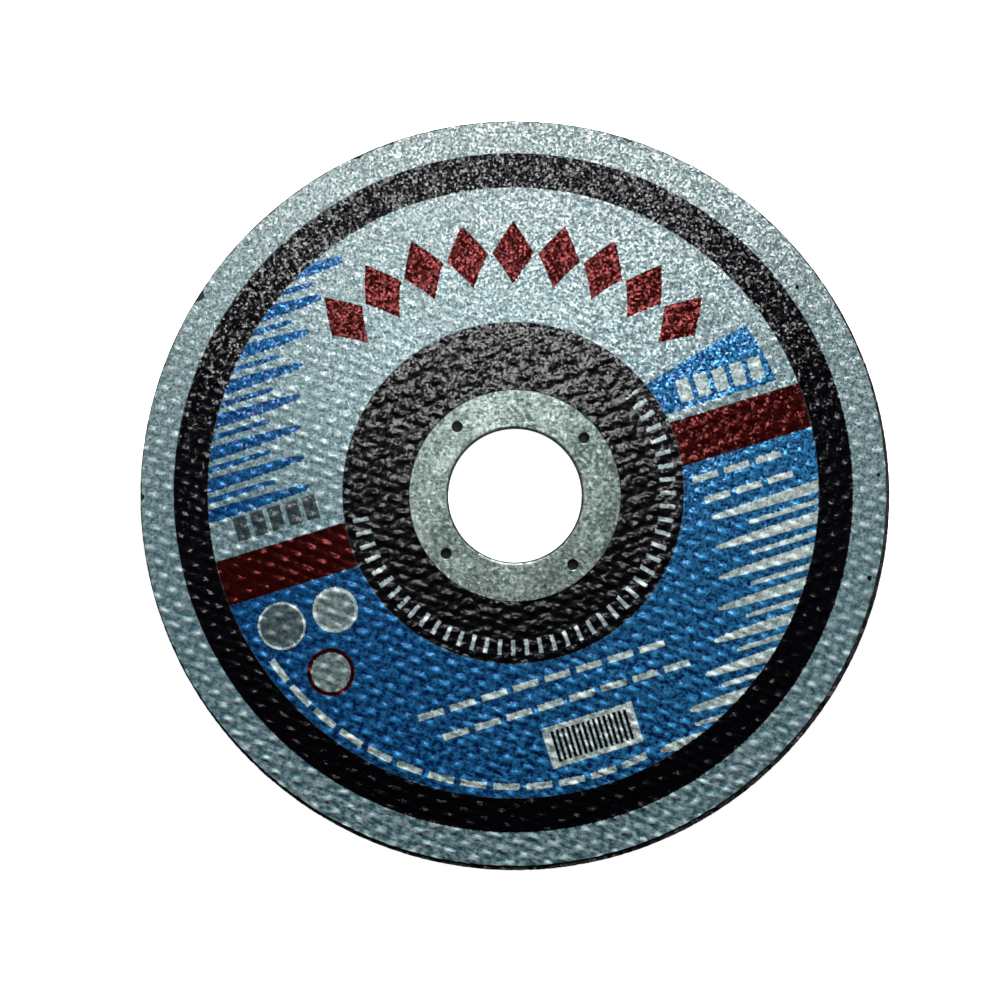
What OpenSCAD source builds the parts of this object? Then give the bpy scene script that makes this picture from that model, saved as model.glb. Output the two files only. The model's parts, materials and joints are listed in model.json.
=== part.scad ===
// Cut-off wheel: a thin pressed abrasive disc, a net-embossed face label and a drawn steel centre ring.
// It lies on its back face at z = 0 with the label up, and the bore runs along the z axis.

/* [Wheel] */
// Outside diameter of the abrasive disc
wheel_d = 125; // [100:1:130]
// Thickness over the crowns of the label
wheel_t = 1.5; // [1.3:0.1:2.5]
// Edge break of the rim, on both faces
rim_break = 0.1; // [0.05:0.05:0.3]

/* [Centre ring] */
// Diameter of the bore inside the collar
bore_d = 22.23; // [20:0.01:24]
// Thickness of the steel sheet
ring_sheet = 0.35; // [0.25:0.05:0.5]
// Inside radius of the bend between flange and collar
bend_r = 0.2; // [0.1:0.05:0.3]
// Depth of the flange's seat in the disc
seat_depth = 0.05; // [0.02:0.01:0.2]
// Distance that the collar stops short of the back face
collar_short = 0.1; // [0.05:0.05:0.3]

/* [Keying holes] */
// Number of holes punched in the flange
key_count = 4; // [3:1:8]
// Diameter of a hole
key_d = 2; // [1:0.1:2.4]
// Diameter of the circle that the holes lie on
key_circle_d = 30; // [28:0.1:34]
// Width of steel left between a hole and the edge of the flange
key_edge = 1.6; // [0.8:0.1:3]
// Direction of the first hole
key_turn = 40; // [0:1:90]

/* [Label] */
// Thickness of the label in the openings of the net
label_t = 0.1; // [0.05:0.01:0.15]
// Width of bare abrasive that the label would leave round it if it lay on centre
label_inset = 0.3; // [0.15:0.05:1]
// Distance that the label lies off centre
label_off = 0.55; // [0:0.05:1]
// Direction in which the label lies off centre
label_off_turn = 121; // [0:1:359]
// Width of bare abrasive left inside the edge break where the label was trimmed with the rim
label_trim = 0.05; // [0.02:0.01:0.5]

/* [Net] */
// Spacing of the warp threads
warp_pitch = 2; // [1.9:0.05:3]
// Spacing of the weft threads, which cross the warp at right angles
weft_pitch = 1.755; // [1.7:0.005:3]
// Direction of the weft threads
weft_turn = -18.75; // [-45:0.25:45]
// Height of the crowns, where weft lies over warp, above the pits, where it dives under
net_relief = 0.15; // [0.05:0.01:0.25]

/* [Fits] */
// Bond line between the collar and the disc
bond_gap = 0.05; // [0.02:0.01:0.1]
// Open line round the edge of the flange
flange_gap = 0.12; // [0.05:0.01:0.3]

/* [Hidden] */
$fn = 96;

wheel_r = wheel_d / 2;
disc_t = wheel_t - label_t - net_relief;
key_circle_r = key_circle_d / 2;
flange_r = key_circle_r + key_d / 2 + key_edge;
flange_under = disc_t - seat_depth;
flange_top = flange_under + ring_sheet;
seat_r = flange_r + flange_gap;
collar_in = bore_d / 2;
collar_out = collar_in + ring_sheet;
disc_bore = collar_out + bond_gap;
label_r = wheel_r - label_inset;
trim_r = wheel_r - rim_break - label_trim;
// Chips in the trimmed edge of the label: direction and width
edge_chips = [[72.4, 1.3], [109.3, 0.9], [114.7, 1], [147.7, 1.8], [180.2, 1.2]];

// Crowns lie at every second crossing, so their rows run askew to the threads, this far apart
crown_row = 2 * warp_pitch * weft_pitch / norm([warp_pitch, weft_pitch]);
// Rows of crowns from the centre to past the rim
net_half = ceil(wheel_r / crown_row);
net_count = 2 * net_half;

// A flat ring between two radii
module annulus(inner, outer) {
    difference() {
        circle(outer);
        circle(inner);
    }
}

// Point of the net at a height, counted in crowns from the centre along their two rows:
// a step along either row is one weft thread up, and one warp thread on or back
function net_point(i, j, z) =
    let (
        along = (i - j) * warp_pitch,
        across = (i + j) * weft_pitch
    )
    [
        along * cos(weft_turn) - across * sin(weft_turn),
        along * sin(weft_turn) + across * cos(weft_turn),
        z
    ];

// Section of the disc: a slab with broken rim edges, the flange's seat and a rounded bore edge
module disc_section() {
    difference() {
        polygon([
            [disc_bore, 0],
            [wheel_r - rim_break, 0],
            [wheel_r, rim_break],
            [wheel_r, disc_t - rim_break],
            [wheel_r - rim_break, disc_t],
            [disc_bore, disc_t]
        ]);
        translate([0, flange_under])
            square([seat_r, wheel_t]);
        difference() {
            translate([0, flange_under - bend_r])
                square([disc_bore + bend_r, wheel_t]);
            translate([disc_bore + bend_r, flange_under - bend_r])
                circle(bend_r);
        }
    }
}

module abrasive_disc() {
    color("#26262a")
        rotate_extrude()
            disc_section();
}

// Embossed sheet: four crowns of the weft stand round each pit
module net_sheet() {
    row = net_count + 1;
    crowns = [
        for (j = [0 : net_count], i = [0 : net_count])
            net_point(i - net_half, j - net_half, wheel_t)
    ];
    pits = [
        for (j = [0 : net_count - 1], i = [0 : net_count - 1])
            net_point(i + 0.5 - net_half, j + 0.5 - net_half, disc_t + label_t)
    ];
    corners = [
        for (way = [[-1, -1], [1, -1], [1, 1], [-1, 1]])
            net_point(way[0] * net_half, way[1] * net_half, disc_t)
    ];
    first_pit = len(crowns);
    first_corner = first_pit + len(pits);
    pit_sides = [
        for (j = [0 : net_count - 1], i = [0 : net_count - 1])
            let (
                a = j * row + i,
                b = a + 1,
                c = b + row,
                d = a + row,
                pit = first_pit + j * net_count + i
            )
            each [[b, a, pit], [c, b, pit], [d, c, pit], [a, d, pit]]
    ];
    // Crown points along the four edges, in order round the sheet
    edges = [
        [for (i = [0 : net_count]) i],
        [for (j = [0 : net_count]) j * row + net_count],
        [for (i = [0 : net_count]) row * row - 1 - i],
        [for (j = [0 : net_count]) (net_count - j) * row]
    ];
    walls = [
        for (k = [0 : 3])
            concat([first_corner + k], edges[k], [first_corner + (k + 1) % 4])
    ];
    underside = [for (k = [0 : 3]) first_corner + k];
    polyhedron(concat(crowns, pits, corners), concat(pit_sides, walls, [underside]), convexity = 4);
}

// Outline of the label: a disc set off centre, trimmed with the rim, with the ring's hole and the chips
module label_outline() {
    difference() {
        intersection() {
            circle(trim_r);
            rotate(label_off_turn)
                translate([label_off, 0])
                    circle(label_r);
        }
        circle(seat_r);
        for (chip = edge_chips)
            rotate(chip[0])
                translate([trim_r, 0])
                    circle(d = chip[1]);
    }
}

module face_label() {
    color("#b9c8c9")
        intersection() {
            net_sheet();
            linear_extrude(2 * wheel_t)
                label_outline();
        }
}

// Section of the ring: a flat flange, a bend of even thickness and a collar down the bore
module ring_section() {
    bend_centre = [collar_out + bend_r, flange_under - bend_r];
    translate([bend_centre[0], flange_under])
        square([flange_r - bend_centre[0], ring_sheet]);
    translate([collar_in, collar_short])
        square([ring_sheet, bend_centre[1] - collar_short]);
    intersection() {
        translate(bend_centre)
            annulus(bend_r, bend_r + ring_sheet);
        translate([collar_in, bend_centre[1]])
            square([bend_r + ring_sheet, bend_r + ring_sheet]);
    }
}

module centre_ring() {
    color("#8e9c98")
        difference() {
            rotate_extrude()
                ring_section();
            for (k = [0 : key_count - 1])
                rotate(key_turn + k * 360 / key_count)
                    translate([key_circle_r, 0, 0])
                        cylinder(d = key_d, h = 2 * flange_top);
        }
}

abrasive_disc();
face_label();
centre_ring();
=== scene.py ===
import json
from functools import reduce
from math import cos, pi, radians, sin
from operator import add, or_

import bpy
import numpy as np
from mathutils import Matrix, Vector


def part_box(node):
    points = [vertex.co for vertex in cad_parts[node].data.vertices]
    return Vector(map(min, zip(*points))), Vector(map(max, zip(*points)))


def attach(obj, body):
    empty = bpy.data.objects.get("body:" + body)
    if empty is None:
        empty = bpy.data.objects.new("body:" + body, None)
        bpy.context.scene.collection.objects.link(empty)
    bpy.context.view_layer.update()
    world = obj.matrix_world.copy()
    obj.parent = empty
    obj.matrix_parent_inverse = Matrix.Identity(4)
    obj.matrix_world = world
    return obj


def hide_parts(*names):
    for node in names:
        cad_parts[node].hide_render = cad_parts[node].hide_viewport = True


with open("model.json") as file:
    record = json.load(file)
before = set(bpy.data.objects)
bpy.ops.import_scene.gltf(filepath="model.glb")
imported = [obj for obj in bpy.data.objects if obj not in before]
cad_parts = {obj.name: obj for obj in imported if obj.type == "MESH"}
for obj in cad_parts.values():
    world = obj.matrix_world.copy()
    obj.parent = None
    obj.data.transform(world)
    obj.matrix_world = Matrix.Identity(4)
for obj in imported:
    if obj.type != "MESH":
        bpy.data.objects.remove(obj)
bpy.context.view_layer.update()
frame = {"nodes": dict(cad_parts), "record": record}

# Abrasive disc: the body of the wheel, alumina grain in dark resin, pressed round a glass net and baked.
# The net shows through the bare back face, and the rim is trued so that cut grain stands out of it.

MM = 0.001
wheel_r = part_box("abrasive_disc")[1].x / MM
disc_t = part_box("abrasive_disc")[1].z / MM
rim_break = 0.1
bore_r = frame["record"]["mounts"][0]["dims"]["r_mm"]
collar_and_bond = 0.4
disc_bore_r = bore_r + collar_and_bond
flange_gap = 0.12
seat_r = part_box("centre_ring")[1].x / MM + flange_gap
seat_depth = 0.05
seat_round = 0.2
grit_depth = 0.09
back_relief = 0.1
back_grain = 0.25
back_rings = 100
rim_rings = 8
sectors = 820
sharp_from = 40.0

weave_turn = -18.75
warp_pitch = 2.0
weft_pitch = 1.755
weave_shift = (0.9, -0.38)
warp_share = 0.7
row_share = 0.18
nub_power = 2.2
# Wander of the threads as waves: turn per mm along x and along y, in radians, and height in mm
warp_wander = ((0.12, 0.31, 0.22), (-0.4, 0.83, 0.16))
weft_wander = ((0.27, -0.1, 0.2), (0.71, 0.5, 0.15))
press_span = 145.0
press_mean, press_swing = 0.56, 0.41
uneven_mean, uneven_swing = 0.66, 0.17

grain_seed = 11
dice = np.random.default_rng(grain_seed)


def wander_of(x, y, waves, wave):
    """Sum of straight waves, each with its own turn along x and y and its own height."""
    return reduce(add, [wave(x * turn_x + y * turn_y) * height for turn_x, turn_y, height in waves])


def unevenness(x, y, wave):
    """Uneven depth, -2 to 2: two bent waves of some 7 mm multiplied, plus two straight ones of 2.5 mm."""
    bent = wave(x * 0.93 + wave(y * 0.7) * 1.3) * wave(y * 0.83 - wave(x * 0.61) * 1.4)
    straight = wave(x * 2.3 + y * 1.1) * wave(y * 2.6 - x * 0.9)
    return bent + straight


def weave_height(x, y, wave, larger):
    """Height of a plain weave, 0 to 1, for arrays or fields: wave is the cosine, larger the greater of two.

    Each weft thread rises over every second warp and dives under the next, as a half wave across and a full
    wave along; each warp thread does the same in turn. The higher of the two is the surface. Both sets
    wander a little from their straight lines, and the net was pressed in deepest along the lower edge.
    """
    x = x - weave_shift[0] + wander_of(x, y, warp_wander, wave)
    y = y - weave_shift[1] + wander_of(x, y, weft_wander, wave)
    turn = radians(weave_turn)
    warp_phase = (x * cos(turn) + y * sin(turn)) * (pi / warp_pitch)
    weft_phase = (y * cos(turn) - x * sin(turn)) * (pi / weft_pitch)
    along = wave(warp_phase)
    across = wave(weft_phase)
    weft = (abs(across) + along * across) * 0.5
    warp = (abs(along) - along * across) * (0.5 * warp_share)
    row = wave(warp_phase - weft_phase) * 0.5 + 0.5
    nub = (larger(weft, warp) ** nub_power) * (1 - row_share) + row * row_share
    pressed = wave((y + wheel_r) * (pi / press_span)) * press_swing + press_mean
    return nub * pressed * (unevenness(x, y, wave) * uneven_swing + uneven_mean)


def weave_on_points(x, y):
    """Height of the weave at an array of points."""
    return weave_height(x, y, np.cos, np.maximum)


def skin_round(name, points):
    """Closed mesh over a grid of points in mm: rows follow a closed section, columns go round the axis."""
    rows, columns, _ = points.shape
    place = np.arange(rows * columns).reshape(rows, columns)
    beside = np.roll(place, -1, axis=1)
    quads = np.stack([place, beside, np.roll(beside, -1, axis=0), np.roll(place, -1, axis=0)], axis=-1)
    quads = quads.reshape(-1, 4)
    mesh = bpy.data.meshes.new(name)
    mesh.vertices.add(rows * columns)
    mesh.vertices.foreach_set("co", (points * MM).ravel())
    mesh.loops.add(quads.size)
    mesh.loops.foreach_set("vertex_index", quads.ravel())
    mesh.polygons.add(len(quads))
    mesh.polygons.foreach_set("loop_start", np.arange(0, quads.size, 4))
    mesh.polygons.foreach_set("use_smooth", np.ones(len(quads), dtype=bool))
    mesh.update(calc_edges=True)
    mesh.validate()
    mesh.set_sharp_from_angle(angle=radians(sharp_from))
    piece = bpy.data.objects.new(name, mesh)
    bpy.context.scene.collection.objects.link(piece)
    return piece


def turned(section, angles):
    """Grid of points from a section of (radius, height) pairs carried round the axis."""
    radius, height = np.asarray(section, dtype=float).T
    return np.stack(
        [
            np.outer(radius, np.cos(angles)),
            np.outer(radius, np.sin(angles)),
            np.outer(height, np.ones_like(angles)),
        ],
        axis=-1,
    )


def disc_points():
    """Section of the disc, from the bore along the back, up the rim and over the seat, turned round the axis.

    The back is sunk by the open part of the net, and every rim point is drawn in by its own depth of grit.
    """
    back = [(r, 0.0) for r in np.linspace(disc_bore_r, wheel_r - rim_break, back_rings)]
    rim = [(wheel_r, z) for z in np.linspace(rim_break, disc_t - rim_break, rim_rings)]
    top = [(wheel_r - rim_break, disc_t), (seat_r, disc_t)]
    seat_z = disc_t - seat_depth
    seat = [(seat_r, seat_z), (disc_bore_r + seat_round, seat_z), (disc_bore_r, seat_z - seat_round)]
    points = turned(back + rim + top + seat, np.linspace(0, 2 * pi, sectors, endpoint=False))
    face = points[1:back_rings - 1]
    grain = dice.random(face.shape[:2])
    open_net = 1 - weave_on_points(face[..., 0], face[..., 1])
    face[..., 2] = back_relief * open_net * (1 - back_grain + back_grain * grain)
    edge = points[back_rings - 1:back_rings + rim_rings + 1]
    depth = grit_depth * dice.random(edge.shape[:2]) ** 2
    edge[..., :2] *= (1 - depth / wheel_r)[..., None]
    return points


class Field:
    """A number that varies over a surface. Arithmetic on fields adds Math nodes to their material."""

    def __init__(self, socket):
        self.socket = socket

    def math(self, operation, *others, clamp=False):
        node = self.socket.id_data.nodes.new("ShaderNodeMath")
        node.operation = operation
        node.use_clamp = clamp
        for place, value in zip(node.inputs, (self, *others)):
            feed(place, value)
        return Field(node.outputs[0])

    def vector(self, operation, other):
        node = self.socket.id_data.nodes.new("ShaderNodeVectorMath")
        node.operation = operation
        feed(node.inputs[0], self)
        feed(node.inputs[1], other)
        return Field(node.outputs["Value" if operation == "DOT_PRODUCT" else "Vector"])

    def __add__(self, other):
        return self.math("ADD", other)

    def __sub__(self, other):
        return self.math("SUBTRACT", other)

    def __mul__(self, other):
        return self.math("MULTIPLY", other)

    def __truediv__(self, other):
        return self.math("DIVIDE", other)

    def __pow__(self, other):
        return self.math("POWER", other)

    def __and__(self, other):
        return self.math("MINIMUM", other)

    def __or__(self, other):
        return self.math("MAXIMUM", other)

    def __invert__(self):
        return self * -1 + 1

    def __abs__(self):
        return self.math("ABSOLUTE")

    def cosine(self):
        return self.math("COSINE")


def feed(place, value):
    """Links a field to a socket, or sets the socket to a plain value."""
    if isinstance(value, Field):
        place.id_data.links.new(value.socket, place)
    else:
        place.default_value = value


def new_material(name):
    """A material, its shader, and the Object coordinates in millimetres, as a vector and as two numbers."""
    material = bpy.data.materials.new(name)
    material.use_nodes = True
    nodes = material.node_tree.nodes
    shader = nodes["Principled BSDF"]
    where = nodes.new("ShaderNodeTexCoord")
    scale = nodes.new("ShaderNodeVectorMath")
    scale.operation = "SCALE"
    scale.inputs["Scale"].default_value = 1 / MM
    material.node_tree.links.new(where.outputs["Object"], scale.inputs[0])
    split = nodes.new("ShaderNodeSeparateXYZ")
    material.node_tree.links.new(scale.outputs[0], split.inputs[0])
    return material, shader, Field(scale.outputs[0]), Field(split.outputs["X"]), Field(split.outputs["Y"])


def noise(where, size, detail=2.0, rough=0.5):
    """Smooth noise from 0 to 1, with blots of about that many millimetres."""
    node = where.socket.id_data.nodes.new("ShaderNodeTexNoise")
    feed(node.inputs["Vector"], where)
    node.inputs["Scale"].default_value = 1 / size
    node.inputs["Detail"].default_value = detail
    node.inputs["Roughness"].default_value = rough
    return Field(node.outputs["Fac"])


def grains(where, size):
    """Grains of about that many millimetres: a shade for each, and the height of its flat, tipped top."""
    node = where.socket.id_data.nodes.new("ShaderNodeTexVoronoi")
    feed(node.inputs["Vector"], where)
    node.inputs["Scale"].default_value = 1 / size
    way = Field(node.outputs["Color"]).vector("SUBTRACT", (0.5, 0.5, 0.5))
    tipped = where.vector("SUBTRACT", Field(node.outputs["Position"])).vector("DOT_PRODUCT", way)
    shade = way.vector("DOT_PRODUCT", (0.6, 0.6, 0.6)) + 0.5
    return shade, tipped


def mix(share, below, above):
    """Colour that goes from one to another as the share goes from 0 to 1."""
    node = share.socket.id_data.nodes.new("ShaderNodeMix")
    node.data_type = "RGBA"
    feed(node.inputs["Factor"], share)
    for place, colour in ((node.inputs["A"], below), (node.inputs["B"], above)):
        feed(place, colour if isinstance(colour, Field) else (*colour, 1.0))
    return Field(node.outputs["Result"])


def emboss(shader, height):
    """Bump from a height in millimetres."""
    node = shader.id_data.nodes.new("ShaderNodeBump")
    node.inputs["Distance"].default_value = MM
    feed(node.inputs["Height"], height)
    feed(shader.inputs["Normal"], Field(node.outputs["Normal"]))


grit_size = 0.55
fine_grit_size = 0.2
resin_black = (0.002, 0.002, 0.0025)
grit_grey = (0.016, 0.015, 0.015)
broken_grey = (0.16, 0.15, 0.14)
broken_above = 0.95
broken_rise = 30.0
seat_fade = 0.2
resin_rough, grit_gloss = 0.75, 0.3
grit_tip, grit_step, fine_grit_relief = 0.5, 0.06, 0.03


def abrasive_material():
    """Dark resin with grains that each have their own grey, a few pale and broken, and a smooth seat."""
    material, shader, where, x, y = new_material("abrasive_grain")
    shade, tipped = grains(where, grit_size)
    z = where.vector("DOT_PRODUCT", (0.0, 0.0, 1.0))
    within = ((x * x + y * y).math("SQRT") * -1 + seat_r).math("DIVIDE", seat_fade, clamp=True)
    seat = within & (z - disc_t / 2).math("DIVIDE", seat_fade, clamp=True)
    resin = mix(shade * ~seat, resin_black, grit_grey)
    broken = (shade * ~seat - broken_above).math("MULTIPLY", broken_rise, clamp=True)
    feed(shader.inputs["Base Color"], mix(broken, resin, broken_grey))
    feed(shader.inputs["Roughness"], shade * -grit_gloss + resin_rough)
    shader.inputs["Specular IOR Level"].default_value = 0.25
    fine_grit = noise(where, fine_grit_size)
    emboss(shader, (tipped * grit_tip + shade * grit_step + fine_grit * fine_grit_relief) * ~seat)
    return material


pressed_disc = skin_round("pressed_disc", disc_points())
pressed_disc.data.materials.append(abrasive_material())
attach(pressed_disc, "root")
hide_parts("abrasive_disc")

# Label: silver-coated paper, printed in blue, red, black and white, laid on the mix before pressing.
# Pressing moulds it over the net and the grain below, and its edge stays ragged where the rim was trued.

label_inset = 0.3
label_r = wheel_r - label_inset
label_trim = 0.05
trim_r = wheel_r - rim_break - label_trim
label_off = 0.55
label_off_turn = 121.0
label_x = label_off * cos(radians(label_off_turn))
label_y = label_off * sin(radians(label_off_turn))
label_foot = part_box("face_label")[0].z / MM
label_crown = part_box("face_label")[1].z / MM
label_thin = 0.1
label_rings = 118
edge_fray = 0.22
hole_fray = 0.06
# Chips in the edge: direction and width
edge_chips = ((72.4, 1.3), (109.3, 0.9), (114.7, 1.0), (147.7, 1.8), (180.2, 1.2))


def label_edge(angles):
    """Radius of the label's edge, seen from the axis: its own circle, off centre, or the trimmed rim if less.

    It is frayed by a smoothed random depth, and each chip takes a round bite out of it.
    """
    loose = dice.random(len(angles))
    for _ in range(2):
        loose = (np.roll(loose, 1) + 2 * loose + np.roll(loose, -1)) / 4
    away = angles - radians(label_off_turn)
    own = label_off * np.cos(away) + np.sqrt(label_r ** 2 - (label_off * np.sin(away)) ** 2)
    edge = np.minimum(own, trim_r) - edge_fray * (loose * loose)
    for turn, width in edge_chips:
        along = trim_r * np.sin(angles - radians(turn))
        this_side = np.cos(angles - radians(turn)) > 0
        bite = np.sqrt(np.clip((width / 2) ** 2 - along ** 2, 0, None)) * this_side
        edge = np.minimum(edge, trim_r - bite)
    return edge


def label_points():
    """Rings from the hole to the ragged edge at the height of the net, then back along the flat underside."""
    angles = np.linspace(0, 2 * pi, sectors, endpoint=False)
    share = np.linspace(0, 1, label_rings)[:, None]
    inner = seat_r + hole_fray * dice.random(sectors)
    radius = inner + share * (label_edge(angles) - inner)
    x = radius * np.cos(angles)
    y = radius * np.sin(angles)
    low = label_foot + label_thin
    top = np.stack([x, y, low + (label_crown - low) * weave_on_points(x, y)], axis=-1)
    foot = top[[-1, 0]].copy()
    foot[..., 2] = label_foot
    return np.concatenate([top, foot])[::-1]


print_edge = 0.12


def over(distance, edge=print_edge):
    """Print where a distance in millimetres is above zero, with a short soft edge."""
    return (distance / edge).math("ADD", 0.5, clamp=True)


def near(value, half):
    """Print where a value lies within a half width of zero."""
    return over(abs(value) * -1 + half)


def spot(x, y, place, size, edge=print_edge):
    """Print within a distance of a place."""
    away = (x - place[0]) * (x - place[0]) + (y - place[1]) * (y - place[1])
    return over(away.math("SQRT") * -1 + size, edge)


def between(value, low, high):
    """Print where a value lies between two limits."""
    return near(value - (low + high) / 2, (high - low) / 2)


# Black rings, and the red band with its slant; heights are counted across the band from its middle
ring_in, ring_out = 50.9, 56.65
hub_r = 28.5
band_turn = 17.1
band_low, band_high = -4.1, 3.55

# Blue panel beside the band: outer radius, lowest height, and the slope and height of its upper edge
panel_r = 47.7
panel_foot = 5.05
panel_slope, panel_top = 0.2446, 4.35

# Combs of stripes: spacing, ellipse of the tips, power of the taper, and the sizes of each comb
comb_pitch = 4.93
comb_count = 8
comb_centre = 8.0
comb_reach = 43.1
wide_point, narrow_point = 0.3, 0.1
blue_stripes = dict(first=11.1, wide_reach=32.1, narrow_reach=37.7, wide_half=1.12, narrow_half=0.47)
pale_stripes = dict(first=13.8, wide_reach=30.7, narrow_reach=36.8, wide_half=0.98, narrow_half=0.44)

# Pale discs: place, radius, radius of the tint on each, and its strength; the last one has a red rim
pale_discs = (
    ((-38.6, -22.2), 4.0, 3.6, 0.7),
    ((-29.7, -19.5), 3.8, 3.2, 0.4),
    ((-30.4, -29.9), 4.0, 3.3, 0.4),
)

# Pale plate with dark bars
plate_along, plate_height = 0.7, -42.5
plate_half_length, plate_half_height = 7.9, 3.5
bars_half_length, bars_half_height = 6.9, 2.6
bar_pitch, bar_half = 0.9, 0.25

# Rows of dashes: pitch, half length and half height of a dash, then height, start and count of a row
dash_shape = (5.5, 2.2, 0.55)
pale_bar_shape = (3.1, 1.1, 1.9)
dark_bar_shape = (3.0, 1.1, 2.0)
dash_rows = ((-31.3, -26.7, 8), (-35.6, -23.7, 8), (-6.8, 28.6, 3), (-10.6, 29.6, 3))
pale_bar_row = (8.0, 30.8, 5)
dark_bar_row = (7.6, -46.5, 5)
dark_bar_ink = 0.85
arc_r = 49.0
arc_start = -146.0
arc_count = 13

# Red lozenges along the upper arc, in degrees and millimetres
lozenge_r = 40.0
lozenge_middle, lozenge_step, lozenge_span = 90.0, 11.0, 49.5
lozenge_half_length, lozenge_half_width = 5.3, 3.5

# White ticks round the hub
tick_in, tick_out = 24.5, 27.1
tick_middle, tick_step, tick_span = -66.0, 5.0, 106.0
tick_half = 0.34

# Dark specks of wear near the edge: x, y and radius
label_specks = (
    (47.3, 34.3, 0.35),
    (60.9, 3.0, 0.3),
    (59.4, -14.2, 0.4),
    (-4.0, 59.9, 0.25),
    (-44.4, 41.5, 0.35),
)


def comb(along, across, first, reach, half, point, count):
    """Row of stripes that grow in from the black ring, with their tips on an ellipse.

    The half width goes as the distance from the tip to a power: the lower the power, the blunter the tip.
    """
    step = ((across - first) / comb_pitch).math("ROUND").math("MAXIMUM", 0.0).math("MINIMUM", count - 1.0)
    line = step * comb_pitch + first
    tip = (~(((line - comb_centre) / comb_reach) ** 2.0)).math("SQRT") * reach
    root = (line * line * -1 + ring_in ** 2).math("SQRT")
    taper = ((along - tip) / (root - tip)).math("MAXIMUM", 0.0).math("MINIMUM", 1.0) ** point
    return over(taper * half - abs(across - line)) & over(along - tip)


def both_combs(along, across, first, wide_reach, narrow_reach, wide_half, narrow_half):
    """Wide stripes with a narrow one midway between each two."""
    wide = comb(along, across, first, wide_reach, wide_half, wide_point, comb_count)
    narrow_first = first + comb_pitch / 2
    narrow = comb(along, across, narrow_first, narrow_reach, narrow_half, narrow_point, comb_count - 1)
    return wide | narrow


def repeat(value, step):
    """Distance from the nearest multiple of a step, with its sign."""
    return value - (value / step).math("ROUND") * step


def dashes(along, across, start, count, shape):
    """Row of short bars of one shape, from a start along the row."""
    pitch, half_length, half_height = shape
    middle = start + count * pitch / 2
    row = near(across, half_height) & near(along - middle, count * pitch / 2)
    return row & near(repeat(along - start - pitch / 2, pitch), half_length)


def printed_inks(x, y):
    """Where blue, red, black and white ink lie on the label."""
    r = (x * x + y * y).math("SQRT")
    turn = y.math("ARCTAN2", x) * (180 / pi)
    u = x * cos(radians(band_turn)) + y * sin(radians(band_turn))
    v = y * cos(radians(band_turn)) - x * sin(radians(band_turn))
    field = between(r, hub_r, ring_in)
    within_hub = over(r * -1 + hub_r)

    def dash_row(row, shape):
        """Row of dashes along the band, at a height over it."""
        height, start, count = row
        return dashes(u, v - height, start, count, shape)

    low_field = over(v * -1 + band_low)
    panel = over(r * -1 + panel_r) & over(v - panel_foot) & over(u * panel_slope - v + panel_top) & over(u)
    blue_comb = both_combs(u * -1, v, **blue_stripes)
    pale_comb = both_combs(u, v * -1, **pale_stripes)

    discs = reduce(or_, [spot(x, y, place, size) for place, size, _, _ in pale_discs])
    tint = reduce(or_, [spot(x, y, place, size) * strength for place, _, size, strength in pale_discs])
    rimmed_place, rim_out, rim_in, _ = pale_discs[-1]
    red_rim = spot(x, y, rimmed_place, rim_out) & ~spot(x, y, rimmed_place, rim_in)

    plate_u = u - plate_along
    plate_v = v - plate_height
    plate = near(plate_u, plate_half_length) & near(plate_v, plate_half_height)
    bars = near(plate_u, bars_half_length) & near(plate_v, bars_half_height)
    bars = bars & near(repeat(plate_u, bar_pitch), bar_half)

    rows = reduce(or_, [dash_row(row, dash_shape) for row in dash_rows])
    rows = rows | dashes((turn - arc_start) * radians(arc_r), r - arc_r, 0.0, arc_count, dash_shape)
    pale_bars = dash_row(pale_bar_row, pale_bar_shape)
    dark_bars = dash_row(dark_bar_row, dark_bar_shape)

    pale = low_field & (pale_comb | discs | plate | rows)
    blue = ((low_field & ~pale) | (panel & ~pale_bars) | blue_comb) & field

    aside = abs(repeat(turn - lozenge_middle, lozenge_step) * radians(lozenge_r))
    slant = lozenge_half_length / lozenge_half_width
    lozenge = over(aside * -slant - abs(r - lozenge_r) + lozenge_half_length)
    lozenges = lozenge & near(turn - lozenge_middle, lozenge_span)
    red = (between(v, band_low, band_high) & field) | lozenges | red_rim

    tick = near(repeat(turn, tick_step) * radians((tick_in + tick_out) / 2), tick_half)
    ticks = between(r, tick_in, tick_out) & tick & near(turn - tick_middle, tick_span)
    specks = reduce(or_, [spot(x, y, (speck_x, speck_y), size) for speck_x, speck_y, size in label_specks])
    rings = between(r, ring_in, ring_out) | (within_hub & ~ticks)
    black = rings | (bars & plate) | tint | (dark_bars * dark_bar_ink) | specks
    white = ((pale | (panel & pale_bars)) & field) | (ticks & within_hub)
    return blue & ~red, red, black, white & ~black


def laid(x, y, turn, stretch):
    """Place on the surface as a vector along and across a direction, drawn out along it."""
    node = x.socket.id_data.nodes.new("ShaderNodeCombineXYZ")
    feed(node.inputs["X"], x * (cos(radians(turn)) / stretch) + y * (sin(radians(turn)) / stretch))
    feed(node.inputs["Y"], y * cos(radians(turn)) - x * sin(radians(turn)))
    return Field(node.outputs["Vector"])


paper_grain = 0.38
ink_grain = 0.45
ink_shift_x, ink_shift_y = 0.5, -0.45
streak_size, streak_stretch = 0.75, 1.8
hub_streak_size, hub_streak_stretch = 1.3, 2.3
hub_streak_turn = 20.0
hub_fade = 3.0
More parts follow.
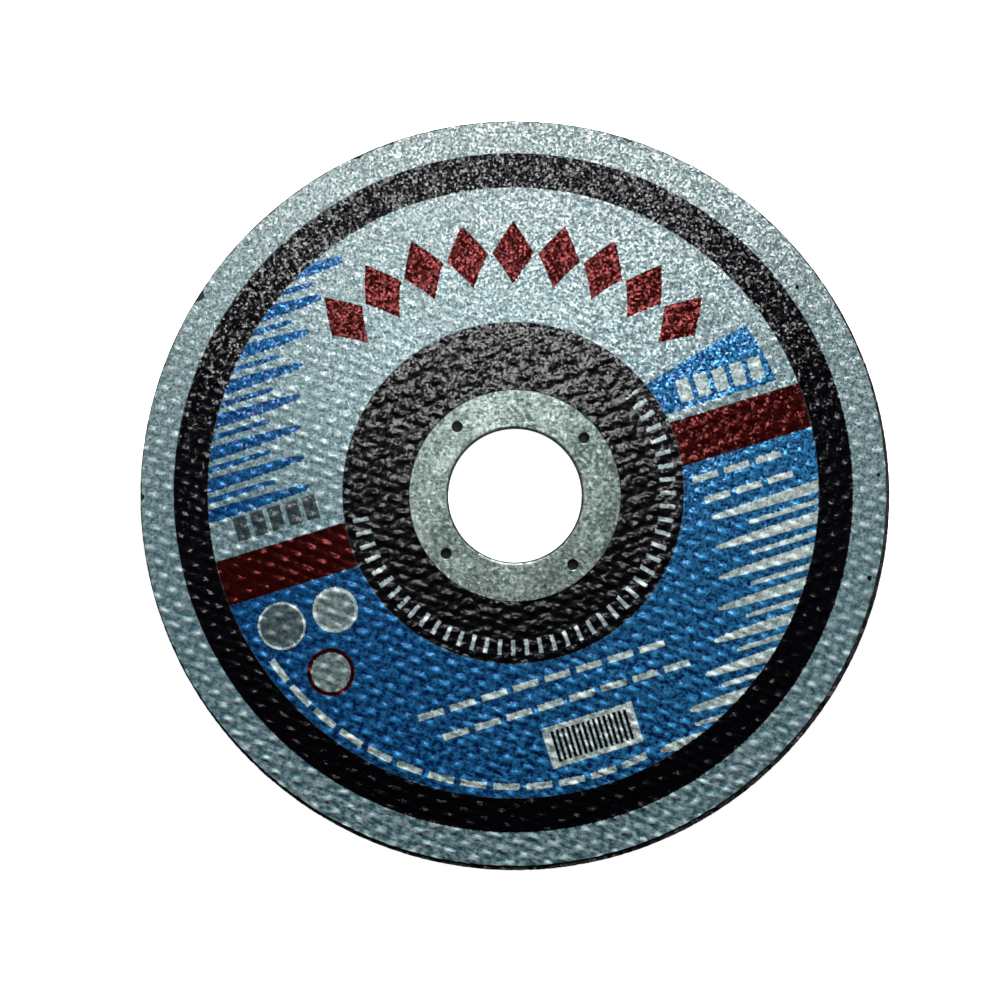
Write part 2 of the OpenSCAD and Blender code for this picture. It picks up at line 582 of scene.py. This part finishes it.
# Colours in the pits and on the crowns: ink lies thicker in the pits, and the pits also carry painted shade
# and the crowns painted highlight.
# The silver is painted paler and more neutral towards the top as painted sheen, and the blue paler towards
# the right and top as painted light.
silver_pit_low, silver_pit_painted_sheen = (0.035, 0.12, 0.155), (0.085, 0.145, 0.152)
silver_low, silver_painted_sheen = (0.46, 0.62, 0.645), (0.61, 0.63, 0.605)
white_pit, white_crown = (0.12, 0.18, 0.185), (0.51, 0.58, 0.55)
blue_pit, blue_left, blue_right_lit = (0.0006, 0.012, 0.07), (0.009, 0.135, 0.39), (0.06, 0.375, 0.735)
red_pit, red_crown = (0.034, 0.0008, 0.0012), (0.13, 0.012, 0.01)
black_ink = (0.0004, 0.0004, 0.0012)
# Shares that change per mm across the label: speckle and painted sheen with y, streaks with y, and a blue
# painted paler with x and y as painted light
speckle_and_sheen_rise, speckle_and_sheen_middle, speckle_and_sheen_least = 0.0108, 0.33, 0.1
streak_rise, streak_middle = -0.011, 0.1
blue_light_rise_x, blue_light_rise_y, blue_light_middle = 0.007, 0.002, 0.5
# Dark pits in the speckled silver: where they start, their soft edge and their depth of tone
pit_from, pit_edge, pit_tone = 0.09, 0.08, 0.75
silver_metal, red_metal, blue_metal = 0.45, 0.75, 0.38
ink_rough, silver_rougher, hub_rougher = 0.18, 0.13, 0.035
# Heights of the relief in mm
crown_relief, streak_relief, crumple_relief = 0.175, 0.2, 0.24
grain_tip, wander_relief = 0.36, 0.05
hub_calm = 0.2


def label_material():
    """Silver paper under blue, red, black and white ink, which lies thicker between the crowns of the weave.

    Grain below the paper speckles the upper half, which is also painted paler as painted sheen, and short
    streaks along the weft mark the lower edge, in relief and as painted light and shade.
    The ink's outlines wander a little, and the hub is crumpled along its own slant.
    """
    material, shader, where, x, y = new_material("printed_paper")
    shade, tipped = grains(where, paper_grain)
    wander = noise(where, ink_grain, detail=3.0) - 0.5
    streaked = (y * streak_rise + streak_middle).math("MAXIMUM", 0.0)
    streak = (noise(laid(x, y, weave_turn, streak_stretch), streak_size, detail=1.0) - 0.5) * streaked
    hub = spot(x, y, (0.0, 0.0), hub_r, hub_fade)
    crumple = noise(laid(x, y, hub_streak_turn, hub_streak_stretch), hub_streak_size, detail=0.5) - 0.5
    crown = weave_height(x, y, Field.cosine, Field.__or__)
    # Share of speckle, rising towards the top; it also paints the colours paler there, as painted sheen
    speckle_and_sheen = (y * speckle_and_sheen_rise + speckle_and_sheen_middle).math("MAXIMUM", speckle_and_sheen_least)

    print_x = x - label_x + wander * ink_shift_x
    print_y = y - label_y + wander * ink_shift_y
    blue, red, black, white = printed_inks(print_x, print_y)
    bare = ~(blue | red | black)

    pits = over(wander * -1 - pit_from, pit_edge)
    # Random mottle and dark pits, whose mean tone also rises towards the top as painted sheen
    mottle_and_sheen = (shade * 0.7 + wander * 2.0) * (speckle_and_sheen * 0.6 + 0.3) - pits * speckle_and_sheen * pit_tone
    # Tone of each ink between its pit and crown colours: partly random mottle and ink lying thicker in the
    # pits, partly painted shade in the pits and painted highlight on the crowns and streaks
    mottle_and_painted_light = (crown * (bare * 0.5 + 1.1) + streak * 2.4 + mottle_and_sheen).math("ADD", -0.02, clamp=True)
    # Painted sheen: the silver's pit and crown colours go paler and more neutral towards the top
    silver_pit = mix(speckle_and_sheen, silver_pit_low, silver_pit_painted_sheen)
    silver = mix(mottle_and_painted_light, silver_pit, mix(speckle_and_sheen, silver_low, silver_painted_sheen))
    white_ink = mix(mottle_and_painted_light * 1.4, white_pit, white_crown)
    # Painted light: the blue is made paler towards the right and the top
    blue_painted_light = x * blue_light_rise_x + y * blue_light_rise_y + blue_light_middle
    blue_ink = mix(mottle_and_painted_light * 1.35, blue_pit, mix(blue_painted_light, blue_left, blue_right_lit))
    red_ink = mix(mottle_and_painted_light, red_pit, red_crown)
    colour = mix(white, silver, white_ink)
    colour = mix(blue, colour, blue_ink)
    colour = mix(red, colour, red_ink)
    colour = mix(black, colour, black_ink)
    feed(shader.inputs["Base Color"], colour)

    metal = (bare & ~white) * silver_metal + (red & ~black) * red_metal + (blue & ~black) * blue_metal
    feed(shader.inputs["Metallic"], metal)
    feed(shader.inputs["Roughness"], bare * silver_rougher + hub * hub_rougher + ink_rough)
    shader.inputs["Specular IOR Level"].default_value = 0.5
    speckle = (tipped * grain_tip + wander * wander_relief) * speckle_and_sheen * (hub * -hub_calm + 1)
    relief = crown * crown_relief + streak * streak_relief + crumple * hub * crumple_relief
    emboss(shader, relief + speckle)
    return material


printed_label = skin_round("printed_label", label_points())
printed_label.data.materials.append(label_material())
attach(printed_label, "root")
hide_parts("face_label")

# Centre ring: zinc-plated steel sheet, drawn into a flange and a collar that lines the bore.
# The collar is pressed into the bore, and resin grips the flange through its four punched holes.

key_count = 4
key_turn = 40.0
key_circle_r = 15.0
key_r = 1.0
burr_r = 0.07
burr_sides = 12
burr_steps = 40
ring_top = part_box("centre_ring")[1].z / MM
# Painted shade: how far past the bore a dark ring is painted, where the zinc turns down into the bore
bore_shade_reach = 0.3
scuffs = ((-3.0, 14.5), (-4.0, -14.3))
scuff_r, scuff_fade = 3.2, 4.0
crystal_size, mottle_size, patch_size, fleck_size = 0.5, 0.7, 4.0, 0.45
zinc_dark, zinc_pale = (0.07, 0.11, 0.1), (0.5, 0.61, 0.57)
# Colour of the painted shade along the edge of the bore
bore_shade_black = (0.01, 0.012, 0.012)
# Middle tone of the zinc, and its painted shade gradient per mm along x and y
zinc_middle, zinc_shade_rise_x, zinc_shade_rise_y = 0.43, -0.006, 0.003
fleck_from, fleck_edge = 0.56, 0.05
zinc_metal = 0.7
zinc_rough, crystal_gloss = 0.4, 0.1
mottle_relief, crystal_tip = 0.08, 0.22


def zinc_material():
    """Dull zinc: small mottled crystals, a greenish cast and pale scuffs, painted lighter towards the left
    and top and darker towards the right and bottom as painted light and shade, with a painted shade ring
    along the edge of the bore.
    """
    material, shader, where, x, y = new_material("zinc_plate")
    crystal, tipped = grains(where, crystal_size)
    mottle = noise(where, mottle_size, detail=4.0, rough=0.75)
    patches = noise(where, patch_size) - 0.5
    # Random patches and scuffs are the plating's own tone and wear; the gradient along x and y is painted
    # light and shade, lighter towards the left and top.
    wear_and_painted_shade = patches * 1.1 + x * zinc_shade_rise_x + y * zinc_shade_rise_y + zinc_middle
    fleck = over(noise(where, fleck_size) - fleck_from, fleck_edge)
    for place in scuffs:
        wear_and_painted_shade = wear_and_painted_shade + fleck * spot(x, y, place, scuff_r, scuff_fade) * 0.5
    shade = ((crystal - 0.5) * 0.6 + (mottle - 0.5) * 3.2).math("ADD", wear_and_painted_shade, clamp=True)
    # Painted shade: a dark ring along the edge of the bore, where the zinc bends down and faces away from the
    # light
    bore_shade = spot(x, y, (0.0, 0.0), bore_r + bore_shade_reach)
    feed(shader.inputs["Base Color"], mix(bore_shade, mix(shade, zinc_dark, zinc_pale), bore_shade_black))
    shader.inputs["Metallic"].default_value = zinc_metal
    feed(shader.inputs["Roughness"], shade * -crystal_gloss + zinc_rough)
    emboss(shader, mottle * mottle_relief + tipped * crystal_tip)
    return material


zinc = zinc_material()
steel_ring = frame["nodes"]["centre_ring"]
steel_ring.data.materials.clear()
steel_ring.data.materials.append(zinc)


def burr_points(turn):
    """Thin raised lip round one punched hole: a small circle carried once round the edge of the hole."""
    lip = np.linspace(0, 2 * pi, burr_sides, endpoint=False)
    section = np.stack([key_r + burr_r * np.cos(lip), burr_r * np.sin(lip)], axis=-1)
    points = turned(section, np.linspace(0, 2 * pi, burr_steps, endpoint=False))
    points += (key_circle_r * cos(radians(turn)), key_circle_r * sin(radians(turn)), ring_top - burr_r)
    return points


for number in range(key_count):
    burr = skin_round(f"hole_burr_{number + 1}", burr_points(key_turn + number * 360 / key_count))
    burr.data.materials.append(zinc)
    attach(burr, "root")

# Floor, light and camera: a white floor that glows evenly, so that the wheel stands on plain white.
# A low key light beyond the top edge rakes over the weave, a small gridded lamp above gives the upper half
# its sheen, and the camera looks straight down.

floor_half = 1.5
floor_grey = (0.9, 0.9, 0.9, 1.0)
floor_rough = 0.9
white_glow = (1.0, 1.0, 1.0, 1.0)
floor_glow = 1.0
sky_glow = 0.01
floor_mesh = bpy.data.meshes.new("floor")
floor_corners = [(-floor_half, -floor_half, 0), (floor_half, -floor_half, 0)]
floor_corners += [(floor_half, floor_half, 0), (-floor_half, floor_half, 0)]
floor_mesh.from_pydata(floor_corners, [], [(0, 1, 2, 3)])
floor = bpy.data.objects.new("floor", floor_mesh)
bpy.context.scene.collection.objects.link(floor)
floor_material, floor_shader, _, _, _ = new_material("pale_floor")
floor_shader.inputs["Base Color"].default_value = floor_grey
floor_shader.inputs["Roughness"].default_value = floor_rough
floor_shader.inputs["Emission Color"].default_value = white_glow
floor_shader.inputs["Emission Strength"].default_value = floor_glow
floor_material.cycles.emission_sampling = "NONE"
floor_mesh.materials.append(floor_material)


def hang_light(name, place, aim, size, spread, power):
    """Rectangular studio light at a place, turned to face a point, with a grid that limits its spread."""
    light = bpy.data.lights.new(name, "AREA")
    light.shape = "RECTANGLE"
    light.size, light.size_y = size
    light.energy = power
    light.spread = radians(spread)
    lamp = bpy.data.objects.new(name, light)
    lamp.location = place
    lamp.rotation_euler = (Vector(place) - Vector(aim)).to_track_quat("Z", "Y").to_euler()
    bpy.context.scene.collection.objects.link(lamp)


hang_light(
    "key_light",
    place=(0.08, 0.55, 0.22),
    aim=(0.0, 0.0, 0.0),
    size=(0.12, 0.12),
    spread=180.0,
    power=11.8,
)
hang_light(
    "sheen_light",
    place=(-0.005, 0.065, 0.28),
    aim=(-0.005, 0.065, 0.0),
    size=(0.075, 0.05),
    spread=48.0,
    power=0.0205,
)

world = bpy.data.worlds.new("studio")
bpy.context.scene.world = world
world.use_nodes = True
world.node_tree.nodes["Background"].inputs["Color"].default_value = white_glow
world.node_tree.nodes["Background"].inputs["Strength"].default_value = sky_glow
bpy.context.scene.view_settings.view_transform = "Standard"

photo_px_per_mm = 6.0
photo_width_px = 1000
centre_px = (515.0, 495.7)
camera_height = 0.45
frame_width = photo_width_px / photo_px_per_mm * MM
camera_data = bpy.data.cameras.new("camera")
camera_data.sensor_width = 36.0
camera_data.lens = camera_data.sensor_width * camera_height / frame_width
camera = bpy.data.objects.new("camera", camera_data)
bpy.context.scene.collection.objects.link(camera)
camera.location = (
    (photo_width_px / 2 - centre_px[0]) / photo_px_per_mm * MM,
    (centre_px[1] - photo_width_px / 2) / photo_px_per_mm * MM,
    camera_height + label_crown * MM,
)
bpy.context.scene.camera = camera
